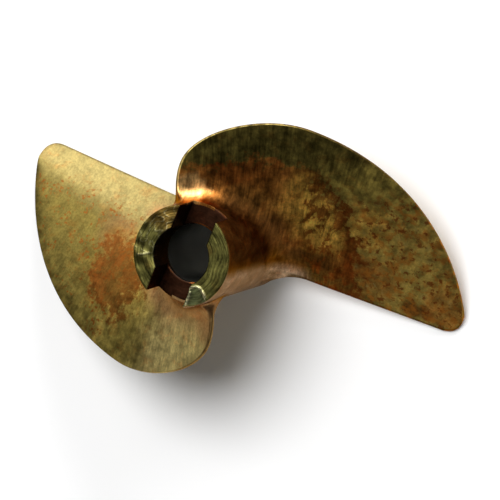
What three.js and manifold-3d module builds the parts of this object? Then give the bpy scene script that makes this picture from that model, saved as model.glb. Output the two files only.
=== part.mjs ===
// A two-bladed model-boat propeller with a slotted drive end, in millimetres.
// The shaft axis is Z. +Z points forward, to the face with the drive slot, and the slot runs along Y.
// Heights are measured from the aft face of the hub. The finished group is lifted at the end, so that
// its lowest point, the trailing tips of the blades, lies at Z = 0.
import * as THREE from "three";
import { mergeVertices } from "three/addons/utils/BufferGeometryUtils.js";
import Module from "manifold-3d";

// Hub barrel
const HUB_RADIUS = 4.2;
const HUB_LENGTH = 14.2;
const HUB_CHAMFER = 0.12;
const HUB_SEGMENTS = 72;

// Bore for the shaft, and the thin bush that lines it, pressed in from the aft face up to a lip of
// the hub just under the floor of the slot
const BORE_RADIUS = 2.4;
const BORE_CHAMFER = 0.08;
const LINER_WALL = 0.3;
const LINER_LIP = 0.35;

// Slot for the drive dog, open on both sides of the hub
const SLOT_WIDTH = 3.3;
const SLOT_DEPTH = 2.65;

// Clearance left between pieces that are brazed or pressed together
const JOINT_GAP = 0.05;

// Blade surface: a right-handed helicoid whose pitch grows with the radius, raked forward
const HUB_PITCH = 26.5;
const PITCH_GROWTH = 1.195;
const RAKE = 0.245;
const RAKE_CURVE = 0.0009;
const LEADING_ROOT_ANGLE = THREE.MathUtils.degToRad(133.2);
const LEADING_ROOT_HEIGHT = 11.25;

// Blade outline seen along the shaft: leading edge as three Bezier arcs, a round tip, a straight
// trailing edge
const LEADING_ROOT = [-2.9, 3.03];
const LEADING_ARCS = [
  [-3.44, 3.9, -4.02, 5.16, -4.02, 6.45],
  [-4.02, 9.22, 0.35, 12.46, 4.13, 12.46],
  [12.6, 12.46, 17.43, 7.43, 19.63, 2.59],
];
const TIP_ARC = [20.19, 1.36, 19.75, 0.05, 18.2, -0.02];
const TRAILING_ROOT = [4.0, -0.93];

// Blade thickness
const ROOT_THICKNESS = 1.0;
const TIP_THICKNESS = 0.42;
const ROOT_EDGE = 0.42;
const TIP_EDGE = 0.26;

// Braze fillet: its radius on the blade's faces, which starts small at the leading edge and is full
// after a share of the chord, its radius round each edge, and the thickness where it feathers out
const FACE_FILLET = 2.4;
const LEADING_FACE_FILLET = 1.5;
const FILLET_RUN = 0.3;
const LEADING_FILLET = 0.5;
const TRAILING_FILLET = 1.0;
const FILLET_LIP = 0.12;

// Mesh fineness
const BLADE_STATIONS = 26;
const FILLET_STATIONS = 7;
const CHORD_STEPS = 16;
const NOSE_STEPS = 3;
const OUTLINE_DIVISIONS = 200;

const slotFloor = HUB_LENGTH - SLOT_DEPTH;
const linerRadius = BORE_RADIUS + LINER_WALL;
const seatRadius = linerRadius + JOINT_GAP;
const seatTop = slotFloor - LINER_LIP;
const rootRadius = HUB_RADIUS + JOINT_GAP;

const wasm = await Module();
wasm.setup();

// A closed geometry as a manifold-3d solid.
function solidOf(geometry) {
  const bare = geometry.clone();
  bare.deleteAttribute("normal");
  bare.deleteAttribute("uv");
  const merged = mergeVertices(bare, 1e-4);
  return new wasm.Manifold(
    new wasm.Mesh({
      numProp: 3,
      vertProperties: merged.attributes.position.array,
      triVerts: new Uint32Array(merged.index.array),
    }),
  );
}

// A manifold-3d solid as a geometry.
function geometryOf(solid) {
  const mesh = solid.getMesh();
  const geometry = new THREE.BufferGeometry();
  geometry.setAttribute("position", new THREE.BufferAttribute(mesh.vertProperties, 3));
  geometry.setIndex(new THREE.BufferAttribute(mesh.triVerts, 1));
  geometry.computeVertexNormals();
  return geometry;
}

// A solid of revolution about Z from a closed profile of [radius, height] pairs.
function turned(profile) {
  const points = [...profile, profile[0]].map(([radius, height]) => new THREE.Vector2(radius, height));
  const geometry = new THREE.LatheGeometry(points, HUB_SEGMENTS);
  geometry.rotateX(Math.PI / 2);
  return solidOf(geometry);
}

// A box between two corners.
function block(low, high) {
  const size = high.map((value, i) => value - low[i]);
  const geometry = new THREE.BoxGeometry(...size);
  geometry.translate(...low.map((value, i) => value + size[i] / 2));
  return solidOf(geometry);
}

function mix(from, to, share) {
  return from + (to - from) * share;
}

// The outline as points from the leading root round the tip to the trailing root.
function outlinePoints() {
  const outline = new THREE.Path();
  outline.moveTo(...LEADING_ROOT);
  LEADING_ARCS.forEach((arc) => outline.bezierCurveTo(...arc));
  outline.bezierCurveTo(...TIP_ARC);
  outline.lineTo(...TRAILING_ROOT);
  return outline.getPoints(OUTLINE_DIVISIONS);
}

const outline = outlinePoints();
const radii = outline.map((point) => point.length());
const tipRadius = Math.max(...radii);
const tipIndex = radii.indexOf(tipRadius);
const leadingEdge = outline.slice(0, tipIndex + 1);
const trailingEdge = outline.slice(tipIndex).reverse();

// The angle round the shaft at which an edge, given from root to tip, crosses a radius.
function edgeAngle(edge, radius) {
  const next = edge.findIndex((point) => point.length() >= radius);
  const outer = edge[next === -1 ? edge.length - 1 : Math.max(next, 1)];
  const inner = edge[edge.indexOf(outer) - 1];
  const rise = outer.length() - inner.length();
  const share = THREE.MathUtils.clamp((radius - inner.length()) / rise, 0, 1);
  const innerAngle = Math.atan2(inner.y, inner.x);
  const outerAngle = Math.atan2(outer.y, outer.x);
  return mix(innerAngle, outerAngle, share);
}

function pitchAt(radius) {
  return HUB_PITCH + PITCH_GROWTH * (radius - HUB_RADIUS);
}

// Height of the blade's middle surface above the aft face of the hub.
function bladeHeight(radius, angle) {
  const out = radius - HUB_RADIUS;
  const turn = (angle - LEADING_ROOT_ANGLE) / (2 * Math.PI);
  return LEADING_ROOT_HEIGHT + pitchAt(radius) * turn + RAKE * out + RAKE_CURVE * out * out;
}

// Half thickness of the blade's rim, and of the blade at a share of the chord.
function rimAt(radius, chord) {
  const share = (radius - HUB_RADIUS) / (tipRadius - HUB_RADIUS);
  return Math.min(mix(ROOT_EDGE, TIP_EDGE, share) / 2, 0.4 * chord);
}

function halfThickness(radius, rim, share) {
  const out = (radius - HUB_RADIUS) / (tipRadius - HUB_RADIUS);
  const middle = Math.max(mix(ROOT_THICKNESS, TIP_THICKNESS, out) / 2, rim);
  return rim + (middle - rim) * 4 * share * (1 - share);
}

// The blade's section on the cylinder of a radius, as a closed loop: nose of the leading edge, upper
// face, nose of the trailing edge, lower face. A growth thickens each face by face(share of chord)
// and lengthens the section by leading and trailing at its edges.
function sectionLoop(radius, growth) {
  const leading = edgeAngle(leadingEdge, radius);
  const trailing = edgeAngle(trailingEdge, radius);
  const slope = Math.atan(pitchAt(radius) / (2 * Math.PI * radius));
  const chord = ((leading - trailing) * radius) / Math.cos(slope);
  const rim = rimAt(radius, chord);

  // A point at a distance along the chord from the leading edge and a height above the middle surface.
  function place(distance, height) {
    const middle = leading - (distance * Math.cos(slope)) / radius;
    const angle = middle - (height * Math.sin(slope)) / radius;
    return new THREE.Vector3(
      radius * Math.cos(angle),
      radius * Math.sin(angle),
      bladeHeight(radius, middle) + height * Math.cos(slope),
    );
  }

  // Distance and half thickness of the points of one face, the rounded noses included.
  const face = [];
  for (let i = 1; i < NOSE_STEPS; i++) {
    const turn = (Math.PI / 2) * (i / NOSE_STEPS);
    const along = rim - (rim + growth.leading) * Math.cos(turn);
    face.push([along, (rim + growth.face(0)) * Math.sin(turn)]);
  }
  for (let i = 0; i <= CHORD_STEPS; i++) {
    const distance = mix(rim, chord - rim, i / CHORD_STEPS);
    const share = distance / chord;
    face.push([distance, halfThickness(radius, rim, share) + growth.face(share)]);
  }
  for (let i = NOSE_STEPS - 1; i > 0; i--) {
    const turn = (Math.PI / 2) * (i / NOSE_STEPS);
    const along = chord - rim + (rim + growth.trailing) * Math.cos(turn);
    face.push([along, (rim + growth.face(1)) * Math.sin(turn)]);
  }

  const upper = face.map(([distance, height]) => place(distance, height));
  const lower = face.map(([distance, height]) => place(distance, -height)).reverse();
  return [place(-growth.leading, 0), ...upper, place(chord + growth.trailing, 0), ...lower];
}

// Joins section loops, from the hub outwards, into one closed solid. The end caps are strips between
// the two faces.
function loft(loops) {
  const count = loops[0].length;
  const half = count / 2;
  const index = [];
  for (let k = 0; k + 1 < loops.length; k++) {
    for (let i = 0; i < count; i++) {
      const a = k * count + i;
      const b = k * count + ((i + 1) % count);
      index.push(a, b, b + count, a, b + count, a + count);
    }
  }
  const cap = [0, 1, count - 1, half - 1, half, half + 1];
  for (let i = 1; i < half - 1; i++) {
    cap.push(i, i + 1, count - i - 1, i, count - i - 1, count - i);
  }
  const last = (loops.length - 1) * count;
  index.push(...cap.toReversed());
  index.push(...cap.map((i) => i + last));
  const geometry = new THREE.BufferGeometry();
  const positions = loops.flat().flatMap((point) => point.toArray());
  geometry.setAttribute("position", new THREE.Float32BufferAttribute(positions, 3));
  geometry.setIndex(index);
  return solidOf(geometry);
}

// Radii from one value to another, closer together at both ends.
function stations(from, to, count) {
  return Array.from({ length: count + 1 }, (_, k) => {
    return mix(from, to, (1 - Math.cos((Math.PI * k) / count)) / 2);
  });
}

// How far a round fillet stands off the blade at a distance from the hub.
function filletWidth(filletRadius, distance) {
  const left = Math.max(filletRadius - distance, 0);
  const width = filletRadius - Math.sqrt(filletRadius ** 2 - left ** 2);
  return Math.max(width, FILLET_LIP);
}

// The fillet's growth of the section at a distance from the hub.
function filletGrowth(distance) {
  return {
    face: (share) => {
      const run = THREE.MathUtils.smoothstep(share, 0, FILLET_RUN);
      return filletWidth(mix(LEADING_FACE_FILLET, FACE_FILLET, run), distance);
    },
    leading: filletWidth(LEADING_FILLET, distance),
    trailing: filletWidth(TRAILING_FILLET, distance),
  };
}

// The same growth on every side.
function evenGrowth(amount) {
  return { face: () => amount, leading: amount, trailing: amount };
}

// Distance from the hub at which the fillet is down to its lip.
function filletReach() {
  const left = Math.sqrt(FACE_FILLET ** 2 - (FACE_FILLET - FILLET_LIP) ** 2);
  return FACE_FILLET - left;
}

const slotCutter = block(
  [-SLOT_WIDTH / 2, -2 * HUB_RADIUS, slotFloor],
  [SLOT_WIDTH / 2, 2 * HUB_RADIUS, HUB_LENGTH + SLOT_DEPTH],
);

function hub() {
  const barrel = turned([
    [seatRadius, 0],
    [HUB_RADIUS - HUB_CHAMFER, 0],
    [HUB_RADIUS, HUB_CHAMFER],
    [HUB_RADIUS, HUB_LENGTH - HUB_CHAMFER],
    [HUB_RADIUS - HUB_CHAMFER, HUB_LENGTH],
    [BORE_RADIUS + BORE_CHAMFER, HUB_LENGTH],
    [BORE_RADIUS, HUB_LENGTH - BORE_CHAMFER],
    [BORE_RADIUS, seatTop],
    [seatRadius, seatTop],
  ]);
  return barrel.subtract(slotCutter);
}

function boreLiner() {
  return turned([
    [BORE_RADIUS, BORE_CHAMFER],
    [BORE_RADIUS + BORE_CHAMFER, 0],
    [linerRadius, 0],
    [linerRadius, seatTop - JOINT_GAP],
    [BORE_RADIUS, seatTop - JOINT_GAP],
  ]);
}

// What the hub takes away from the root of a blade and its fillet.
const rootCutter = turned([
  [0, -HUB_LENGTH],
  [rootRadius, -HUB_LENGTH],
  [rootRadius, 2 * HUB_LENGTH],
  [0, 2 * HUB_LENGTH],
]);

function blade() {
  const rimEnd = tipRadius - TIP_EDGE / 10;
  const radiusList = stations(HUB_RADIUS - JOINT_GAP, rimEnd, BLADE_STATIONS);
  return loft(radiusList.map((radius) => sectionLoop(radius, evenGrowth(0)))).subtract(rootCutter);
}

// The braze round the root of a blade, faced off level with the hub's aft face and cut by the slot.
function brazeFillet() {
  const innerRadius = HUB_RADIUS / 2;
  const outerRadius = rootRadius + filletReach();
  const radiusList = [innerRadius, ...stations(rootRadius, outerRadius, FILLET_STATIONS)];
  const flare = loft(
    radiusList.map((radius) => sectionLoop(radius, filletGrowth(Math.max(radius - rootRadius, 0)))),
  );
  const socket = loft(
    stations(innerRadius, outerRadius + FILLET_LIP, FILLET_STATIONS).map((radius) => {
      return sectionLoop(radius, evenGrowth(JOINT_GAP));
    }),
  );
  const reach = 2 * outerRadius;
  const belowHub = block([-reach, -reach, -HUB_LENGTH], [reach, reach, 0]);
  return flare.subtract(socket).subtract(belowHub).subtract(slotCutter).subtract(rootCutter);
}

const brass = new THREE.MeshStandardMaterial({ color: 0x8f8648, roughness: 0.38, metalness: 1 });
const tintedBrass = new THREE.MeshStandardMaterial({ color: 0x8e7440, roughness: 0.34, metalness: 1 });
const braze = new THREE.MeshStandardMaterial({ color: 0x8c5a34, roughness: 0.36, metalness: 1 });
const liner = new THREE.MeshStandardMaterial({ color: 0x45433f, roughness: 0.4, metalness: 1 });

function piece(name, solid, material, turn = 0) {
  const mesh = new THREE.Mesh(geometryOf(solid), material);
  mesh.name = name;
  mesh.rotation.z = turn;
  return mesh;
}

const bladeSolid = blade();
const filletSolid = brazeFillet();
const propeller = new THREE.Group();
propeller.add(piece("hub", hub(), brass));
propeller.add(piece("bore_liner", boreLiner(), liner));
[0, Math.PI].forEach((turn, i) => {
  propeller.add(piece(`blade_${i + 1}`, bladeSolid, tintedBrass, turn));
  propeller.add(piece(`braze_fillet_${i + 1}`, filletSolid, braze, turn));
});
propeller.position.z = -new THREE.Box3().setFromObject(propeller, true).min.z;

export default propeller;
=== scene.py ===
"""Looks of a small two-bladed boat propeller: hub, bore liner, blades and the braze at their roots."""

import math

import bmesh
import bpy
import numpy as np
from mathutils import Matrix, Vector, noise


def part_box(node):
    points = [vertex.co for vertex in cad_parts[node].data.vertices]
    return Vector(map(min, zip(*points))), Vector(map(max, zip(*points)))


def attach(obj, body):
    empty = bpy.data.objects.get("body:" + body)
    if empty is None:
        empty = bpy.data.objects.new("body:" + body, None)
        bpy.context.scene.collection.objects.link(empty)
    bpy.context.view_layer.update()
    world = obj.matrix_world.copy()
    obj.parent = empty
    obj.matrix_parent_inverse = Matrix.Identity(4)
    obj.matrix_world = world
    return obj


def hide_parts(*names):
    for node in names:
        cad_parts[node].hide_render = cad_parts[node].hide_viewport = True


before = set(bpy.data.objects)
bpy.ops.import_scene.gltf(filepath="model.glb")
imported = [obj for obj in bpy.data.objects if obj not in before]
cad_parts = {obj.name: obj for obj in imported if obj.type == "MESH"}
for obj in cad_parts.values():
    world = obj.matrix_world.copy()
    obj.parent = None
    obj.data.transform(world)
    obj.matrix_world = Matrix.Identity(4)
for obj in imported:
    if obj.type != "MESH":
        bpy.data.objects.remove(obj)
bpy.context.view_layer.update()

# All lengths below are in millimetres, and meshes are scaled to metres when they are made.
MM = 0.001

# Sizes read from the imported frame
HUB_LOW, HUB_HIGH = (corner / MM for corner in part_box("hub"))
LINER_LOW, LINER_HIGH = (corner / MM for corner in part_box("bore_liner"))
HUB_RADIUS = HUB_HIGH.x
HUB_BASE = HUB_LOW.z
HUB_TOP = HUB_HIGH.z

# Bore and slot
BORE_RADIUS = 2.4
LINER_RADIUS = LINER_HIGH.x
LINER_TOP = LINER_HIGH.z
SLOT_WIDTH = 3.3
SLOT_DEPTH = 2.65
SLOT_FLOOR = HUB_TOP - SLOT_DEPTH

# The hub runs this far over the liner's outside, so no gap shows; edges have small chamfers
LINER_OVERLAP = 0.02
HUB_CHAMFER = 0.12
LINER_CHAMFER = 0.1

# Blade surface: a right-handed helicoid whose pitch grows with the radius, raked forward
HUB_PITCH = 26.5
PITCH_GROWTH = 1.195
RAKE = 0.245
RAKE_CURVE = 0.0009
LEADING_ROOT_ANGLE = math.radians(133.2)
LEADING_ROOT_HEIGHT = HUB_BASE + 11.25

# Blade outline along the shaft
LEADING_ROOT = (-2.9, 3.03)
LEADING_ARCS = [
    ((-3.44, 3.9), (-4.02, 5.16), (-4.02, 6.45)),
    ((-4.02, 9.22), (0.35, 12.46), (4.13, 12.46)),
    ((12.6, 12.46), (17.43, 7.43), (19.63, 2.59)),
]
TIP_ARC = ((20.19, 1.36), (19.75, 0.05), (18.2, -0.02))
TRAILING_ROOT = (4.0, -0.93)

# Blade thickness and root fillets
ROOT_THICKNESS = 1.0
TIP_THICKNESS = 0.42
ROOT_EDGE = 0.42
TIP_EDGE = 0.26
FACE_FILLET = 2.4
LEADING_FACE_FILLET = 1.5
FILLET_RUN = 0.3
LEADING_FILLET = 0.5
TRAILING_FILLET = 1.0

# The blade's root inside the hub: how deep each of its two rows lies, and its wider fillet there
ROOT_ROWS = ((-0.3, 0.45), (-0.02, 0.35))
# The last row stops this far short of the tip, where the section would shrink to nothing
TIP_STOP = TIP_EDGE / 100
# The braze piece takes the blade this far out from the hub
BRAZE_WIDTH = 0.6 * FACE_FILLET

# Mesh fineness
BLADE_ROWS = 150
FILLET_ROWS = 22
FACE_COLUMNS = 150
NOSE_COLUMNS = 5
HUB_VOXEL = 0.07
TURNED_SEGMENTS = 256
OUTLINE_POINTS = 300


# ---------------------------------------------------------------- outline and surface of a blade


def bezier(start, arc, count=OUTLINE_POINTS):
    """Points of a cubic Bezier from start through the three points of arc."""
    t = np.linspace(0.0, 1.0, count)[:, None]
    p0, p1, p2, p3 = (np.array(p, float) for p in (start, *arc))
    return (1 - t) ** 3 * p0 + 3 * (1 - t) ** 2 * t * p1 + 3 * (1 - t) * t**2 * p2 + t**3 * p3


def blade_edges():
    """Radius and angle of the leading and of the trailing edge, each from root to tip."""
    parts = []
    start = LEADING_ROOT
    for arc in (*LEADING_ARCS, TIP_ARC):
        parts.append(bezier(start, arc))
        start = arc[-1]
    parts.append(np.linspace(start, TRAILING_ROOT, OUTLINE_POINTS))
    points = np.vstack(parts)
    radius = np.hypot(points[:, 0], points[:, 1])
    angle = np.unwrap(np.arctan2(points[:, 1], points[:, 0]))
    tip = int(radius.argmax())
    return (radius[: tip + 1], angle[: tip + 1]), (radius[tip:][::-1], angle[tip:][::-1])


LEADING_EDGE, TRAILING_EDGE = blade_edges()
TIP_RADIUS = float(LEADING_EDGE[0][-1])


def edge_angle(edge, radius):
    """Angle of an edge of the blade at a radius."""
    return float(np.interp(radius, edge[0], edge[1]))


def pitch_at(radius):
    """Axial length of one full turn of the blade surface at a radius."""
    return HUB_PITCH + PITCH_GROWTH * (radius - HUB_RADIUS)


def blade_height(radius, angle):
    """Height of the middle surface."""
    out = radius - HUB_RADIUS
    turn = (angle - LEADING_ROOT_ANGLE) / (2 * math.pi)
    return LEADING_ROOT_HEIGHT + pitch_at(radius) * turn + RAKE * out + RAKE_CURVE * out * out


def fillet_width(fillet_radius, distance):
    """How far a round fillet stands off the blade at a distance from the hub."""
    left = np.clip(fillet_radius - max(distance, 0.0), 0.0, fillet_radius)
    return fillet_radius - np.sqrt(fillet_radius**2 - left**2)


def face_fillet_radius(share):
    """The fillet's radius on the blade's faces at a share of the chord from the leading edge."""
    run = np.clip(share / FILLET_RUN, 0.0, 1.0)
    run = run * run * (3 - 2 * run)
    return LEADING_FACE_FILLET + (FACE_FILLET - LEADING_FACE_FILLET) * run


def section_loop(distance, spread=0.0):
    """The blade's section at a distance from the hub, as a closed loop of points.

    spread lengthens the fillet along the hub's surface, for the rows that lie inside the hub.
    """
    radius = HUB_RADIUS + distance
    leading = edge_angle(LEADING_EDGE, radius)
    trailing = edge_angle(TRAILING_EDGE, radius)
    slope = math.atan(pitch_at(radius) / (2 * math.pi * radius))
    chord = (leading - trailing) * radius / math.cos(slope)
    share = (radius - HUB_RADIUS) / (TIP_RADIUS - HUB_RADIUS)
    rim = min(np.interp(share, (0, 1), (ROOT_EDGE, TIP_EDGE)) / 2, 0.4 * chord)
    middle = max(np.interp(share, (0, 1), (ROOT_THICKNESS, TIP_THICKNESS)) / 2, rim)
    ease = (1 - np.cos(np.linspace(0, math.pi, FACE_COLUMNS + 1))) / 2
    ease = 0.5 * ease + 0.5 * np.linspace(0, 1, FACE_COLUMNS + 1)
    along = rim + (chord - 2 * rim) * ease
    part = along / chord
    face_growth = fillet_width(face_fillet_radius(part), distance) + spread
    leading_growth = fillet_width(LEADING_FILLET, distance) + spread
    trailing_growth = fillet_width(TRAILING_FILLET, distance) + spread
    height = rim + (middle - rim) * 4 * part * (1 - part) + face_growth

    turn = np.linspace(0, math.pi / 2, NOSE_COLUMNS + 1)[1:-1]
    first_along = rim - (rim + leading_growth) * np.cos(turn)
    first_height = (rim + face_growth[0]) * np.sin(turn)
    last_along = chord - rim + (rim + trailing_growth) * np.cos(turn[::-1])
    last_height = (rim + face_growth[-1]) * np.sin(turn[::-1])
    along = np.concatenate([first_along, along, last_along])
    height = np.concatenate([first_height, height, last_height])
    loop_along = np.concatenate([[-leading_growth], along, [chord + trailing_growth], along[::-1]])
    loop_height = np.concatenate([[0.0], height, [0.0], -height[::-1]])

    centre = leading - loop_along * math.cos(slope) / radius
    angle = centre - loop_height * math.sin(slope) / radius
    z = blade_height(radius, centre) + loop_height * math.cos(slope)
    if distance < FACE_FILLET:
        z = np.maximum(z, HUB_BASE)
    return np.column_stack([radius * np.cos(angle), radius * np.sin(angle), z])


def blade_rows():
    """Distances of the blade's rows from the hub: fine in the fillet and at the tip."""
    fillet = FACE_FILLET * (1 - np.cos(np.linspace(0, math.pi / 2, FILLET_ROWS)))
    out = TIP_RADIUS - TIP_STOP - HUB_RADIUS - FACE_FILLET
    rest = FACE_FILLET + out * np.sin(np.linspace(0, math.pi / 2, BLADE_ROWS))
    return np.concatenate([fillet, rest[1:]])


# ---------------------------------------------------------------- mesh helpers


def mesh_object(name, vertices, faces):
    """A new object from vertices in millimetres."""
    mesh = bpy.data.meshes.new(name)
    mesh.from_pydata((np.asarray(vertices) * MM).tolist(), [], faces)
    mesh.update()
    thing = bpy.data.objects.new(name, mesh)
    bpy.context.scene.collection.objects.link(thing)
    return thing


def shade_smooth(thing):
    thing.data.polygons.foreach_set("use_smooth", [True] * len(thing.data.polygons))


def apply_modifiers(thing):
    """Replaces the mesh by what its modifiers make of it."""
    depsgraph = bpy.context.evaluated_depsgraph_get()
    mesh = bpy.data.meshes.new_from_object(thing.evaluated_get(depsgraph))
    thing.modifiers.clear()
    old = thing.data
    thing.data = mesh
    bpy.data.meshes.remove(old)
    mesh.name = thing.name


def cut(thing, cutter):
    """Takes cutter away from thing."""
    modifier = thing.modifiers.new("cut", "BOOLEAN")
    modifier.operation = "DIFFERENCE"
    modifier.solver = "EXACT"
    modifier.object = cutter
    apply_modifiers(thing)


def remove(thing):
    bpy.data.objects.remove(thing)


def box_object(low, high):
    corners = [(x, y, z) for x in (low[0], high[0]) for y in (low[1], high[1]) for z in (low[2], high[2])]
    faces = [(0, 1, 3, 2), (4, 6, 7, 5), (0, 4, 5, 1), (2, 3, 7, 6), (0, 2, 6, 4), (1, 5, 7, 3)]
    return mesh_object("cutter", corners, faces)


def turned_object(name, profile, segments=TURNED_SEGMENTS):
    """A solid of revolution about Z from a closed profile of (radius, height) pairs."""
    turn = np.linspace(0, 2 * math.pi, segments, endpoint=False)
    count = len(profile)
    vertices = [(r * math.cos(a), r * math.sin(a), z) for a in turn for r, z in profile]
    faces = []
    for k in range(segments):
        here, there = k * count, (k + 1) % segments * count
        for i in range(count):
            j = (i + 1) % count
            faces.append((here + i, there + i, there + j, here + j))
    return mesh_object(name, vertices, faces)


# ---------------------------------------------------------------- pieces


def blade_object(name, half_turn):
    """A blade with its root fillet, closed at the root inside the hub."""
    rows = [section_loop(distance, spread) for distance, spread in ROOT_ROWS]
    rows += [section_loop(distance) for distance in blade_rows()]
    count = len(rows[0])
    half = count // 2
    vertices = np.vstack(rows)
    if half_turn:
        vertices = vertices * (-1, -1, 1)
    faces = []
    for k in range(len(rows) - 1):
        for i in range(count):
            j = (i + 1) % count
            faces.append((k * count + i, k * count + j, (k + 1) * count + j, (k + 1) * count + i))
    last = (len(rows) - 1) * count
    for base, flip in ((0, True), (last, False)):
        strips = [(0, 1, count - 1), (half - 1, half, half + 1)]
        strips += [(i, i + 1, count - i - 1, count - i) for i in range(1, half - 1)]
        for strip in strips:
            face = tuple(base + i for i in strip)
            faces.append(face[::-1] if flip else face)
    return mesh_object(name, vertices, faces)


def split_root(thing, name, radius):
    """Moves the faces nearer the shaft than radius into an object of their own."""
    root = thing.copy()
    root.data = thing.data.copy()
    root.name = name
    bpy.context.scene.collection.objects.link(root)
    for part, keep_inside in ((thing, False), (root, True)):
        mesh = bmesh.new()
        mesh.from_mesh(part.data)
        gone = []
        for face in mesh.faces:
            centre = face.calc_center_median() / MM
            inside = math.hypot(centre.x, centre.y) < radius
            if inside != keep_inside:
                gone.append(face)
        bmesh.ops.delete(mesh, geom=gone, context="FACES")
        mesh.to_mesh(part.data)
        mesh.free()
    return root


def slot_cutter():
    """A block that fills the drive slot and everything above it."""
    reach = 3 * HUB_RADIUS
    return box_object((-SLOT_WIDTH / 2, -reach, SLOT_FLOOR), (SLOT_WIDTH / 2, reach, HUB_TOP + reach))


# The chipped corner of the +X segment at the slot: its upper border peaks at CHIP_PEAK
CHIP_PEAK = (2.3, -1.75)
GOUGE_START = (-3.5, -1.45)
GOUGE_END = (-2.7, -0.95)
GOUGE_WIDTH = 0.16
BURR_HEIGHT = 0.09


def chip_border(x):
    """The y of the chip's upper border, a lopsided peak."""
    right_side = 0.85 * np.maximum(x - CHIP_PEAK[0] - 0.3, 0)
    left_side = 0.8 * np.maximum(CHIP_PEAK[0] - 0.2 - x, 0)
    return CHIP_PEAK[1] - right_side - left_side


def chip_strength(x, y):
    """Strength of the chipped corner, with a ragged border."""
    ragged = 0.08 * wander(np.column_stack([x, y, 0 * x]), 0.4, 70)
    return smooth(y - chip_border(x), 0.05 + ragged, -0.12 + ragged) * smooth(x, 1.0, 1.2)


def near_line(x, y, start, end, width):
    """Strength of a straight mark of a given width from start to end."""
    run = np.subtract(end, start)
    share = np.clip(((x - start[0]) * run[0] + (y - start[1]) * run[1]) / run.dot(run), 0, 1)
    away = np.hypot(x - start[0] - share * run[0], y - start[1] - share * run[1])
    return smooth(away, width / 2 + 0.05, width / 2 - 0.03)


def scar_strength(x, y):
    """Strength of the pale raised burr round the chip, and of the scratches on the end faces."""
    places = np.column_stack([x, y, 0 * x])
    sway = 0.13 * wander(places, 0.45, 71)
    burr = smooth(np.abs(y - chip_border(x) - sway), 0.19, 0.07) * smooth(x, 1.5, 1.65) * smooth(x, 3.35, 3.1)
    left = smooth(np.abs(x - 1.78 - sway), 0.17, 0.06) * smooth(y, -3.75, -3.6) * smooth(y, -1.9, -2.1)
    burr = np.maximum(burr, left) * smooth(wander(places, 0.5, 72), -0.55, -0.15)
    gouge = near_line(x + sway, y + sway, GOUGE_START, GOUGE_END, GOUGE_WIDTH)
    curls = smooth(np.abs(wander(places, 0.7, 73)), 0.07, 0.01)
    curls = curls * smooth(x, -1.4, -2.0) * smooth(y, -1.6, -0.8)
    return np.maximum(burr, np.maximum(0.25 * gouge, 0.2 * curls))


def dent_hub(thing):
    """Ripples the turned end face, sinks the chipped corner and raises its burr."""
    places = vertices_of(thing)
    x, y, z = places.T
    radius = np.hypot(x, y)
    top = smooth(z, HUB_TOP - 0.25, HUB_TOP - 0.05)
    ripple = 0.008 * np.sin(radius * 29 + 3.5 * wander(places, 1.2, 81))
    ripple = ripple + smooth(x, 0.0, -1.5) * 0.1 * wander(places, 0.9, 82) + 0.02 * wander(places, 0.8, 83)
    chip = chip_strength(x, y)
    slope = 0.1 + 0.16 * (chip_border(x) - y)
    z = z + top * (ripple * (1 - chip) - chip * np.clip(slope, 0.0, 0.4) + 0.08 * scar_strength(x, y))
    z = np.minimum(z, HUB_TOP + BURR_HEIGHT)
    moved = np.column_stack([x, y, z]) * MM
    thing.data.vertices.foreach_set("co", moved.astype(np.float32).ravel())
    thing.data.update()


def hub_object():
    """The turned barrel with its slot, remeshed finely enough for the ripples and the chip."""
    hub = turned_object(
        "hub_barrel",
        [
            (LINER_RADIUS - LINER_OVERLAP, HUB_BASE),
            (HUB_RADIUS - HUB_CHAMFER, HUB_BASE),
            (HUB_RADIUS, HUB_BASE + HUB_CHAMFER),
            (HUB_RADIUS, HUB_TOP - HUB_CHAMFER / 2),
            (HUB_RADIUS - HUB_CHAMFER / 2, HUB_TOP),
            (BORE_RADIUS, HUB_TOP),
            (BORE_RADIUS, LINER_TOP),
            (LINER_RADIUS - LINER_OVERLAP, LINER_TOP),
        ],
    )
    cutter = slot_cutter()
    cut(hub, cutter)
    remove(cutter)
    remesh = hub.modifiers.new("remesh", "REMESH")
    remesh.mode = "VOXEL"
    remesh.voxel_size = HUB_VOXEL * MM
    remesh.use_smooth_shade = True
    soften = hub.modifiers.new("smooth", "SMOOTH")
    soften.factor = 0.5
    soften.iterations = 3
    apply_modifiers(hub)
    dent_hub(hub)
    return hub


def liner_object():
    """The thin bush that lines the bore below the slot."""
    return turned_object(
        "liner_bush",
        [
            (BORE_RADIUS, LINER_LOW.z + LINER_CHAMFER),
            (BORE_RADIUS + LINER_CHAMFER, LINER_LOW.z),
            (LINER_RADIUS, LINER_LOW.z),
            (LINER_RADIUS, LINER_TOP),
            (BORE_RADIUS, LINER_TOP),
        ],
    )


# ---------------------------------------------------------------- colour over the surface


def smooth(value, low, high):
    """0 below low, 1 above high and a smooth step between; high may be under low."""
    share = np.clip((value - low) / (high - low), 0.0, 1.0)
    return share * share * (3 - 2 * share)


def wander(points, size, seed):
    """Smooth noise of about -1 to 1 at each point, with features about size mm across."""
    offset = Vector((seed * 7.3, seed * 3.1, seed * 5.7))
    return np.array([noise.noise(Vector(point) / size + offset) for point in points])


def blend_to(tone, colour, strength):
    """tone moved towards colour by strength, which is one value per point."""
    return tone + (np.array(colour) - tone) * np.clip(strength, 0, 1)[:, None]


def patch(x, y, centre, size, soft=0.5):
    """Strength of an oval patch: 1 inside, fading over the soft share of its size."""
    away = np.hypot((x - centre[0]) / size[0], (y - centre[1]) / size[1])
    return smooth(away, 1.0 + soft / 2, 1.0 - soft / 2)


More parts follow.
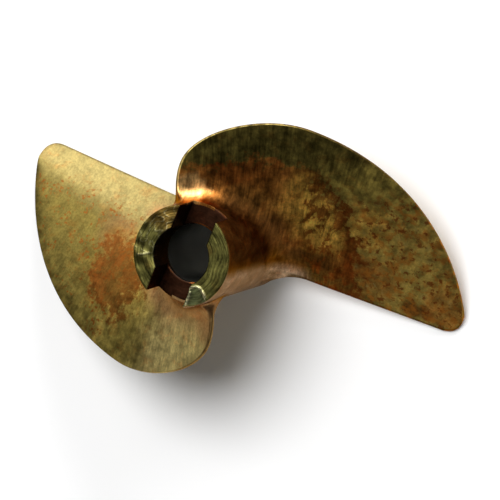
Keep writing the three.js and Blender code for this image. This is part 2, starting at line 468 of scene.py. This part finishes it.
def store(thing, name, values):
    """Keeps one number or one vector per vertex of thing under a name."""
    kind, field = ("FLOAT", "value") if values.ndim == 1 else ("FLOAT_VECTOR", "vector")
    layer = thing.data.attributes.new(name, kind, "POINT")
    layer.data.foreach_set(field, np.ascontiguousarray(values, np.float32).ravel())


def vertices_of(thing):
    """Vertex places in millimetres."""
    places = np.empty(len(thing.data.vertices) * 3, np.float32)
    thing.data.vertices.foreach_get("co", places)
    return places.reshape(-1, 3).astype(float) / MM


def brush_lines(plan):
    """Coordinates whose first part runs across the grinding lines, which lean over near the hub."""
    x, y = plan[:, 0], plan[:, 1]
    across = x + 0.03 * (y - 2.0) * (8.0 - x)
    return np.column_stack([across, y * 0.08, plan[:, 2] * 0.3])


# Base colours, linear
OLIVE = (0.10, 0.078, 0.018)
OLIVE_GOLD = (0.32, 0.24, 0.052)
GOLD = (0.43, 0.30, 0.066)
YELLOW = (0.29, 0.228, 0.083)
AMBER = (0.40, 0.17, 0.032)
BRIGHT_OCHRE = (0.72, 0.43, 0.075)
COPPER = (0.27, 0.10, 0.019)
RUST = (0.12, 0.028, 0.005)
SHADE = (0.045, 0.02, 0.006)
ROSE = (0.36, 0.19, 0.08)
BROWN = (0.125, 0.048, 0.009)
LIP_BROWN = (0.17, 0.08, 0.028)
OCHRE = (0.48, 0.28, 0.045)
# Painted highlight colour
LEADING_ROOT_HIGHLIGHT = (0.50, 0.30, 0.11)
EDGE_BROWN = (0.06, 0.035, 0.012)
PALE_YELLOW = (0.66, 0.53, 0.20)
# Painted reflection: the pink-grey that the white floor throws onto the undersides
FLOOR_REFLECTION_PINK = (0.31, 0.215, 0.135)
GREEN_BRASS = (0.088, 0.081, 0.022)
BROWN_BRASS = (0.095, 0.055, 0.012)
CHIP_GREEN = (0.12, 0.135, 0.055)
PALE_SCAR = (0.46, 0.44, 0.25)
# Painted shade colour for the inside of the drive slot
SLOT_SHADE_BROWN = (0.026, 0.010, 0.005)
BORE_BLACK = (0.014, 0.012, 0.010)
# Painted highlight colour for the bore's rim
BORE_RIM_HIGHLIGHT = (0.26, 0.085, 0.02)

# Colours of the small marks, linear
VEIN_RUST = (0.17, 0.042, 0.007)
AMBER_STAIN = (0.50, 0.17, 0.022)
PALE_STAIN = (0.44, 0.34, 0.11)
SPOT_RUST = (0.19, 0.045, 0.008)
FLECK_RUST = (0.20, 0.062, 0.010)
WORN_BRASS = (0.58, 0.44, 0.15)
WARM_TINT = (1.15, 0.72, 0.55)
BRASS_EDGE_TINT = (0.72, 0.5, 0.34)
STEEL_DARK = (0.05, 0.048, 0.042)
STEEL_PALE = (0.11, 0.11, 0.10)
STEEL_EDGE_TINT = (0.7, 0.7, 0.66)


def shifted(plan, amount, seed):
    """Plan coordinates pushed about, so that the patches get ragged outlines."""
    x = plan[:, 0] + amount * (wander(plan, 1.6, seed) + 0.5 * wander(plan, 0.6, seed + 1))
    y = plan[:, 1] + amount * (wander(plan, 1.6, seed + 2) + 0.5 * wander(plan, 0.6, seed + 3))
    return x, y


def tones_blade_1(plan):
    """The blade that got the most heat, out to about 11 mm from the shaft.

    Gives the tone of plain metal, the tone of heated metal (which also carries a painted highlight at the
    leading root and a painted floor reflection under the root) and how deep in the heated zone a point is.
    """
    x, y = shifted(plan, 0.6, 11)
    radius = np.hypot(x, y)
    cold = np.tile(GOLD, (len(plan), 1))
    cold = blend_to(cold, OLIVE_GOLD, smooth(y - 0.25 * x, 3.8, 6.5))
    cold = blend_to(cold, OLIVE, smooth(y - 0.62 * x, 4.2, 7.8))
    cold = blend_to(cold, OLIVE, 0.75 * patch(x, y, (9.0, -0.1), (4.5, 1.0), 0.9))
    cold = blend_to(cold, COPPER, 0.6 * patch(x, y, (12.4, 2.0), (1.6, 1.5), 0.9))
    cold = blend_to(cold, RUST, 0.7 * patch(x, y, (10.4, 2.5), (1.2, 1.1), 0.8))
    cold = blend_to(cold, BRIGHT_OCHRE, 0.5 * patch(x, y, (10.6, 6.3), (1.8, 1.8), 0.9))
    cold = blend_to(cold, RUST, 0.8 * patch(x, y, (16.2, 0.8), (1.2, 0.6), 0.7))
    cold = blend_to(cold, AMBER, 0.7 * patch(x, y, (18.2, 1.8), (1.6, 1.6), 0.8))

    top = np.minimum(6.1 + 0.6 * (x + 3.0), 9.7)
    depth = np.minimum(8.5 - np.hypot(x - 2.6, y - 0.8), top - y)
    hot = np.tile(COPPER, (len(plan), 1))
    hot = blend_to(hot, AMBER, 0.9 * patch(x, y, (3.6, 6.0), (3.2, 1.9), 0.9))
    hot = blend_to(hot, BRIGHT_OCHRE, 0.95 * patch(x, y, (7.6, 6.6), (3.2, 3.6), 0.9))
    hot = blend_to(hot, RUST, 0.6 * patch(x, y, (0.6, 7.0), (2.6, 1.2), 0.9))
    hot = blend_to(hot, SHADE, 0.85 * patch(x, y, (6.6, 1.3), (1.9, 1.4), 0.9))
    band = 0.5 + 1.2 * smooth(y, 6.0, 3.0)
    hot = blend_to(hot, RUST, 0.85 * smooth(depth, band + 0.6, band - 0.4) * smooth(x, 5.0, 7.5))
    hot = blend_to(hot, OLIVE, 0.5 * smooth(y, 1.3, 0.2) * smooth(x, 5.0, 7.0))
    # painted highlight: a bright patch where the leading edge meets the hub
    hot = blend_to(hot, LEADING_ROOT_HIGHLIGHT, 0.9 * patch(x, y, (-2.7, 4.7), (1.5, 0.9), 0.7))
    hot = blend_to(hot, SHADE, 0.8 * smooth(radius, 6.6, 4.8) * smooth(x, -1.5, 1.0))
    # painted reflection of the floor on the root's underside, below the shaft
    hot = blend_to(hot, FLOOR_REFLECTION_PINK, 0.9 * smooth(plan[:, 1], 0.6, -0.8) * smooth(radius, 7.5, 6.0))
    return cold, hot, depth


def tones_blade_2(plan):
    """The paler blade: pink round the hub, one brown patch, green-gold beyond, and painted shade over the
    outer part away from the trailing edge.
    """
    x, y = shifted(plan, 0.6, 31)
    radius = np.hypot(x, y)
    cold = np.tile(YELLOW, (len(plan), 1))
    cold = blend_to(cold, OLIVE_GOLD, 0.85 * smooth(y + 0.05 * x, 1.6, 5.0) * smooth(x, 0.5, 5.0))
    cold = blend_to(cold, OLIVE, 0.55 * patch(x, y, (4.4, 10.6), (2.4, 1.7), 0.9))
    cold = blend_to(cold, ROSE, 0.75 * smooth(radius, 8.6, 6.8) * smooth(y, -1.0, 1.5))
    cold = blend_to(cold, PALE_YELLOW, 0.9 * patch(x, y, (-1.6, 9.2), (3.3, 3.0), 0.8))
    cold = blend_to(cold, ROSE, 0.6 * patch(x, y, (9.6, 4.0), (1.8, 1.6), 0.9))
    cold = blend_to(cold, AMBER, 0.4 * patch(x, y, (9.3, 4.6), (1.3, 1.3), 0.9))
    cold = blend_to(cold, OLIVE, 0.5 * patch(x, y, (3.7, 9.5), (0.5, 0.7), 0.7))
    cold = blend_to(cold, OCHRE, 0.3 * patch(x, y, (7.9, 6.4), (3.4, 3.2), 0.9))
    # painted shade: the outer blade darkened away from the trailing edge, keeping the bright strip along that
    # edge narrow
    painted_shade = 1 - 0.54 * smooth(y, 1.0, 3.2) * smooth(x, 5.5, 10.5)
    cold = cold * painted_shade[:, None]
    depth = 2.2 * (1.0 - np.hypot((x - 7.7) / 3.0, (y - 6.5) / 2.9))
    hot = blend_to(cold, BROWN, 0.8 + 0 * x)
    return cold, hot, depth


def paint_blade(thing, number):
    """Stores the tone, the grinding lines and the strengths of each kind of mark on a blade."""
    sign = (1, 1, 1) if number == 1 else (-1, -1, 1)
    plan = vertices_of(thing) * sign
    x, y = plan[:, 0], plan[:, 1]
    cold, hot, depth = tones_blade_1(plan) if number == 1 else tones_blade_2(plan)
    radius = np.hypot(x, y)
    angle = np.arctan2(y, x)
    to_leading = (np.interp(radius, *LEADING_EDGE) - angle) * radius
    to_trailing = (angle - np.interp(radius, *TRAILING_EDGE)) * radius
    clear_of_root = smooth(radius, 4.8, 5.6)
    if number == 1:
        rim = 0.8 * smooth(np.minimum(to_leading, to_trailing), 0.26, 0.1)
    else:
        rim = 0.3 * smooth(to_leading, 0.26, 0.1)
        cold = blend_to(cold, LIP_BROWN, 0.8 * smooth(to_leading, 0.34, 0.2) * smooth(x, 0.0, -2.5))
    outer = smooth(radius, 8.5, 12.0)
    worn = smooth(to_leading, 0.34, 0.14) * clear_of_root * smooth(x, 5.0, 1.0)
    store(thing, "tone", blend_to(cold, EDGE_BROWN, rim * clear_of_root))
    store(thing, "hot_tone", blend_to(hot, EDGE_BROWN, rim * clear_of_root))
    store(thing, "depth", depth)
    store(thing, "place", plan)
    store(thing, "brush", brush_lines(plan))
    if number == 1:
        store(thing, "worn", worn)
        store(thing, "spots", outer * smooth(y - 0.55 * x, 4.5, 1.5))
        store(thing, "flecks", 0 * x)
        store(thing, "lines", 1.1 - 0.8 * outer * smooth(y - 0.55 * x, 6.5, 3.0))
        store(thing, "mottle", 0.8 + 0 * x)
        store(thing, "veins", smooth(x, 3.5, 6.0) * smooth(radius, 5.5, 7.5))
    else:
        store(thing, "worn", 0.3 * worn)
        store(thing, "spots", 0 * x)
        middle = smooth(y, 0.8, 2.5) * smooth(to_leading, 0.3, 2.5)
        store(thing, "flecks", smooth(radius, 6.0, 9.0) * (0.2 + 0.8 * middle) * smooth(x, 2.0, 5.0))
        store(thing, "lines", 0.22 + 0.3 * smooth(y - 0.2 * x, 5.0, 8.0))
        store(thing, "mottle", 0.15 + 0.25 * smooth(x, 0.0, 4.0))
        store(thing, "veins", 0.5 + 0 * x)


def paint_hub(thing):
    """End faces green-gold, bore dark, slot painted dark as shade, barrel the copper brown of the blade roots
    with a painted floor reflection on its -Y side.
    """
    plan = vertices_of(thing)
    x, y, z = plan.T
    radius = np.hypot(x, y)
    tone = np.tile(COPPER, (len(plan), 1))
    tone = blend_to(tone, SHADE, 0.75 + 0.25 * wander(plan, 2.0, 51))
    end = smooth(z, HUB_TOP - 0.75, HUB_TOP - 0.6) * smooth(radius, HUB_RADIUS - 0.02, HUB_RADIUS - 0.08)
    end = np.maximum(end, smooth(z, HUB_TOP - 0.12, HUB_TOP - 0.05))
    end = end + smooth(z, HUB_BASE + 0.12, HUB_BASE + 0.05)
    in_slot = smooth(np.abs(x), SLOT_WIDTH / 2 + 0.1, SLOT_WIDTH / 2 + 0.03)
    in_slot = in_slot * smooth(z, SLOT_FLOOR - 0.1, SLOT_FLOOR)
    in_bore = smooth(radius, BORE_RADIUS + 0.08, BORE_RADIUS + 0.02)
    # painted reflection of the floor on the barrel's -Y side
    tone = blend_to(tone, FLOOR_REFLECTION_PINK, 0.9 * smooth(y, 0.8, -0.5) * smooth(x, -1.0, 1.0))
    tone = blend_to(tone, GREEN_BRASS, end)
    tone = blend_to(tone, BROWN_BRASS, 0.8 * end * smooth(y, 0.8, 2.0) * smooth(x, 0, -1.0))
    # painted shade: the slot's walls and floor darkened nearly to black
    tone = blend_to(tone, SLOT_SHADE_BROWN, in_slot * (1 - chip_strength(x, y)))
    tone = blend_to(tone, BORE_BLACK, in_bore)
    # painted highlight: a broken orange line round the bore's rim at the slot floor
    bore_rim_glint = smooth(np.abs(radius - BORE_RADIUS - 0.04), 0.1, 0.05) * smooth(np.abs(z - SLOT_FLOOR), 0.14, 0.06)
    tone = blend_to(tone, BORE_RIM_HIGHLIGHT, bore_rim_glint * in_slot * smooth(wander(plan, 0.9, 52), -0.1, 0.3))
    tone = blend_to(tone, CHIP_GREEN, chip_strength(x, y) * end)
    tone = blend_to(tone, PALE_SCAR, scar_strength(x, y) * end)
    store(thing, "tone", tone)
    store(thing, "place", plan)
    turned = np.column_stack([radius + 0.35 * wander(plan, 1.8, 61), np.arctan2(y, x) * 0.3, z * 0.3])
    along = np.column_stack([z, np.arctan2(y, x) * 0.6, radius])
    store(thing, "brush", np.where((end > 0.3)[:, None], turned, along))
    store(thing, "hot_tone", tone)
    store(thing, "depth", 0 * z - 9.0)
    store(thing, "spots", 0 * z)
    store(thing, "flecks", 0 * z)
    store(thing, "worn", 0 * z)
    store(thing, "veins", 0 * z)
    store(thing, "lines", 0.35 + 1.4 * np.clip(end, 0, 1))
    store(thing, "mottle", 0.5 + 0 * z)


# ---------------------------------------------------------------- materials


class NodeMaker:
    """Adds shader nodes to a material and joins them up."""

    def __init__(self, name):
        self.material = bpy.data.materials.new(name)
        self.material.use_nodes = True
        self.nodes = self.material.node_tree.nodes
        self.shader = self.nodes["Principled BSDF"]

    def set(self, socket, value):
        if isinstance(value, bpy.types.NodeSocket):
            self.material.node_tree.links.new(value, socket)
        elif hasattr(value, "__len__") and socket.type == "RGBA":
            socket.default_value = (*value, 1)
        else:
            socket.default_value = value

    def stored(self, name, vector=False):
        node = self.nodes.new("ShaderNodeAttribute")
        node.attribute_name = name
        return node.outputs["Vector" if vector else "Fac"]

    def stretched(self, vector):
        """The vector with its second part shortened, for marks that run along the blade's chord."""
        node = self.nodes.new("ShaderNodeVectorMath")
        node.operation = "MULTIPLY"
        self.set(node.inputs[0], vector)
        node.inputs[1].default_value = (1.0, 0.55, 1.0)
        return node.outputs[0]

    def math(self, operation, first, second=0.0, third=0.0):
        node = self.nodes.new("ShaderNodeMath")
        node.operation = operation
        for socket, value in zip(node.inputs, (first, second, third)):
            self.set(socket, value)
        return node.outputs[0]

    def noise(self, vector, scale, detail=2.0, roughness=0.5, distortion=0.0):
        node = self.nodes.new("ShaderNodeTexNoise")
        self.set(node.inputs["Vector"], vector)
        node.inputs["Scale"].default_value = scale
        node.inputs["Detail"].default_value = detail
        node.inputs["Roughness"].default_value = roughness
        node.inputs["Distortion"].default_value = distortion
        return node.outputs["Fac"]

    def step(self, value, low, high, to_low=0.0, to_high=1.0):
        """A smooth step from to_low at low to to_high at high."""
        node = self.nodes.new("ShaderNodeMapRange")
        node.interpolation_type = "SMOOTHSTEP"
        names = ("Value", "From Min", "From Max", "To Min", "To Max")
        for name, number in zip(names, (value, low, high, to_low, to_high)):
            self.set(node.inputs[name], number)
        return node.outputs["Result"]

    def mix(self, share, first, second, blend="MIX"):
        node = self.nodes.new("ShaderNodeMix")
        node.data_type = "RGBA"
        node.blend_type = blend
        self.set(node.inputs["Factor"], share)
        colours = [socket for socket in node.inputs if socket.type == "RGBA"]
        self.set(colours[0], first)
        self.set(colours[1], second)
        return next(socket for socket in node.outputs if socket.type == "RGBA")

    def bump(self, height, distance, strength=1.0, before=None):
        node = self.nodes.new("ShaderNodeBump")
        node.inputs["Distance"].default_value = distance * MM
        node.inputs["Strength"].default_value = strength
        self.set(node.inputs["Height"], height)
        if before is not None:
            self.set(node.inputs["Normal"], before)
        return node.outputs["Normal"]


def old_brass(name, roughness=0.4):
    """Tarnished brass: stored tone, mottling, small corrosion spots, grinding lines and a worn rim."""
    make = NodeMaker(name)
    place = make.stored("place", vector=True)
    brush = make.stored("brush", vector=True)
    lines = make.stored("lines")

    fine_lines = make.noise(brush, 5.0, detail=3.0, roughness=0.7)
    coarse_lines = make.noise(brush, 1.9, detail=2.0)
    mottle = make.noise(place, 1.1, detail=5.0, roughness=0.62)
    grain = make.noise(place, 5.0, detail=3.0, roughness=0.6)

    ragged = make.noise(place, 0.75, detail=6.0, roughness=0.72)
    ragged = make.math("MULTIPLY", make.math("SUBTRACT", ragged, 0.5), 6.0)
    depth = make.math("ADD", make.stored("depth"), ragged)
    heated = make.step(depth, -0.4, 0.5)
    strands = make.noise(make.stretched(place), 1.1, detail=5.0, roughness=0.66, distortion=0.3)
    veins = make.math("MULTIPLY", make.step(strands, 0.48, 0.58), make.stored("veins"))
    border = make.math("MULTIPLY", make.step(depth, 1.3, 0.2), make.stored("veins"))
    rusted = make.math("MULTIPLY", make.math("MAXIMUM", veins, border), 0.85)
    hot_tone = make.mix(rusted, make.stored("hot_tone", vector=True), VEIN_RUST)
    tone = make.mix(heated, make.stored("tone", vector=True), hot_tone)
    light = make.step(fine_lines, 0.25, 0.75, 0.62, 1.45)
    light = make.math("MULTIPLY", light, make.step(coarse_lines, 0.25, 0.75, 0.8, 1.22))
    light = make.math("ADD", make.math("MULTIPLY", make.math("SUBTRACT", light, 1.0), lines), 1.0)
    cloudy = make.math("SUBTRACT", make.step(mottle, 0.25, 0.75, 0.5, 1.6), 1.0)
    cloudy = make.math("ADD", make.math("MULTIPLY", cloudy, make.stored("mottle")), 1.0)
    light = make.math("MULTIPLY", light, cloudy)
    light = make.math("MULTIPLY", light, make.step(grain, 0.2, 0.8, 0.8, 1.22))
    shade = make.nodes.new("ShaderNodeVectorMath")
    shade.operation = "SCALE"
    make.set(shade.inputs[0], tone)
    make.set(shade.inputs["Scale"], light)
    colour = shade.outputs[0]

    warm = make.step(make.noise(place, 0.9, detail=4.0, roughness=0.7, distortion=0.4), 0.5, 0.68, 0.0, 0.4)
    colour = make.mix(warm, colour, make.mix(1.0, colour, WARM_TINT, "MULTIPLY"))

    outside = make.math("MULTIPLY", make.stored("spots"), make.math("SUBTRACT", 1.0, heated))
    halo = make.noise(place, 1.2, detail=4.0, roughness=0.65)
    amber = make.math("MULTIPLY", make.step(halo, 0.47, 0.62), outside)
    pale = make.math("MULTIPLY", make.step(halo, 0.44, 0.3), outside)
    colour = make.mix(make.math("MULTIPLY", amber, 0.65), colour, AMBER_STAIN)
    colour = make.mix(make.math("MULTIPLY", pale, 0.4), colour, PALE_STAIN)
    spot = make.noise(place, 1.8, detail=4.0, roughness=0.62)
    spot = make.math("MULTIPLY", make.step(spot, 0.53, 0.64), outside)
    colour = make.mix(make.math("MULTIPLY", spot, 0.8), colour, SPOT_RUST)

    crowd = make.step(make.noise(place, 0.45), 0.4, 0.62, 0.84, 1.05)
    fleck = make.math("MULTIPLY", make.noise(place, 3.4, detail=2.0), crowd)
    fleck = make.math("MULTIPLY", make.step(fleck, 0.54, 0.70), make.stored("flecks"))
    colour = make.mix(make.math("MULTIPLY", fleck, 0.9), colour, FLECK_RUST)

    patchy = make.step(make.noise(place, 1.3, detail=5.0, roughness=0.7), 0.4, 0.62)
    worn = make.math("MULTIPLY", make.stored("worn"), patchy)
    colour = make.mix(make.math("MULTIPLY", worn, 0.65), colour, WORN_BRASS)

    make.set(make.shader.inputs["Base Color"], colour)
    make.shader.inputs["Metallic"].default_value = 1.0
    make.shader.inputs["Specular Tint"].default_value = (*BRASS_EDGE_TINT, 1)
    rough = make.step(mottle, 0.3, 0.7, roughness - 0.06, roughness + 0.08)
    make.set(make.shader.inputs["Roughness"], rough)
    normal = make.bump(fine_lines, 0.02, 0.6)
    normal = make.bump(spot, 0.015, 0.5, normal)
    make.set(make.shader.inputs["Normal"], normal)
    return make.material


def dark_steel(name):
    """Oily, nearly black steel of the bore liner, with faint cloudy patches in its colour and roughness."""
    make = NodeMaker(name)
    place = make.nodes.new("ShaderNodeTexCoord").outputs["Object"]
    cloud = make.noise(place, 600.0, detail=3.0)
    make.set(make.shader.inputs["Base Color"], make.mix(cloud, STEEL_DARK, STEEL_PALE))
    make.shader.inputs["Metallic"].default_value = 1.0
    make.shader.inputs["Specular Tint"].default_value = (*STEEL_EDGE_TINT, 1)
    make.set(make.shader.inputs["Roughness"], make.step(cloud, 0.3, 0.7, 0.34, 0.46))
    return make.material


def set_material(thing, material):
    thing.data.materials.clear()
    thing.data.materials.append(material)


# ---------------------------------------------------------------- assembly


def build():
    """Makes the six pieces, each in place of its CAD node."""
    dark = dark_steel("liner_metal")

    hub = hub_object()
    paint_hub(hub)
    set_material(hub, old_brass("hub_brass", 0.42))
    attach(hub, "root")
    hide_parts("hub")

    liner = liner_object()
    set_material(liner, dark)
    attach(liner, "root")
    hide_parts("bore_liner")

    skin = old_brass("blade_brass", 0.4)
    braze = old_brass("braze", 0.36)
    for number, half_turn in ((1, False), (2, True)):
        blade = blade_object(f"blade_skin_{number}", half_turn)
        shade_smooth(blade)
        cutter = slot_cutter()
        cut(blade, cutter)
        remove(cutter)
        root = split_root(blade, f"braze_root_{number}", HUB_RADIUS + BRAZE_WIDTH)
        paint_blade(blade, number)
        paint_blade(root, number)
        set_material(blade, skin)
        set_material(root, braze)
        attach(blade, "root")
        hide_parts(f"blade_{number}")
        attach(root, "root")
        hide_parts(f"braze_fillet_{number}")


# ---------------------------------------------------------------- camera, floor and light


# Camera: the point it looks at, its compass and height angles from there, distance and roll
CAMERA_TARGET = (2.89, 1.02, 8.0)
CAMERA_AZIMUTH = 40.42
CAMERA_ELEVATION = 67.42
CAMERA_DISTANCE = 492.6
CAMERA_ROLL = -106.56
CAMERA_LENS = 432.0
SENSOR_WIDTH = 36.0

LIGHT_SPREAD = 36
ROOM_LIGHT = 0.1
FLOOR_REACH = 4000
FLOOR_GREY = 0.9


def toward(azimuth, elevation):
    """Unit vector from the propeller to a compass angle (from +X) and height angle."""
    a, e = math.radians(azimuth), math.radians(elevation)
    return Vector((math.cos(e) * math.cos(a), math.cos(e) * math.sin(a), math.sin(e)))


def camera():
    """A long-lens view from high on the slotted side, rolled about the view line."""
    data = bpy.data.cameras.new("camera")
    data.lens = CAMERA_LENS
    data.sensor_width = SENSOR_WIDTH
    data.clip_start = 0.01
    data.clip_end = 10.0
    thing = bpy.data.objects.new("camera", data)
    bpy.context.scene.collection.objects.link(thing)
    back = toward(CAMERA_AZIMUTH, CAMERA_ELEVATION)
    level = Vector((0, 0, 1)).cross(back).normalized()
    place = Matrix((level, back.cross(level), back)).transposed().to_4x4()
    place = place @ Matrix.Rotation(math.radians(CAMERA_ROLL), 4, "Z")
    place.translation = (Vector(CAMERA_TARGET) + CAMERA_DISTANCE * back) * MM
    thing.matrix_world = place
    bpy.context.scene.camera = thing


def soft_light(name, azimuth, elevation, power):
    """A broad distant light, about as wide in the sky as a large soft box."""
    data = bpy.data.lights.new(name, "SUN")
    data.angle = math.radians(LIGHT_SPREAD)
    data.energy = power
    thing = bpy.data.objects.new(name, data)
    bpy.context.scene.collection.objects.link(thing)
    thing.rotation_euler = toward(azimuth, elevation).to_track_quat("Z", "Y").to_euler()


def studio():
    """Pale floor, five broad lamps, and a room that is dim but looks white behind the floor."""
    reach = FLOOR_REACH
    corners = [(-reach, -reach, 0), (reach, -reach, 0), (reach, reach, 0), (-reach, reach, 0)]
    floor = mesh_object("floor", corners, [(0, 1, 2, 3)])
    material = bpy.data.materials.new("floor")
    material.use_nodes = True
    shader = material.node_tree.nodes["Principled BSDF"]
    shader.inputs["Base Color"].default_value = (FLOOR_GREY, FLOOR_GREY, FLOOR_GREY, 1)
    shader.inputs["Roughness"].default_value = 0.9
    shader.inputs["Specular IOR Level"].default_value = 0.2
    set_material(floor, material)
    soft_light("window_high", 120, 66, 2.67)
    soft_light("window_low", 90, 15, 2.86)
    soft_light("window_side", 150, 15, 0.39)
    soft_light("white_card", 138, 38, 0.65)
    soft_light("room_fill", 256, 24, 0.12)

    world = bpy.data.worlds.new("studio")
    bpy.context.scene.world = world
    world.use_nodes = True
    nodes, links = world.node_tree.nodes, world.node_tree.links
    room = nodes["Background"]
    room.inputs["Strength"].default_value = ROOM_LIGHT
    backdrop = nodes.new("ShaderNodeBackground")
    backdrop.inputs["Color"].default_value = (1, 1, 1, 1)
    seen = nodes.new("ShaderNodeLightPath")
    mix = nodes.new("ShaderNodeMixShader")
    links.new(seen.outputs["Is Camera Ray"], mix.inputs["Fac"])
    links.new(room.outputs["Background"], mix.inputs[1])
    links.new(backdrop.outputs["Background"], mix.inputs[2])
    links.new(mix.outputs["Shader"], nodes["World Output"].inputs["Surface"])
    room.inputs["Color"].default_value = (1, 1, 1, 1)
    bpy.context.scene.view_settings.view_transform = "Standard"


camera()
build()
studio()
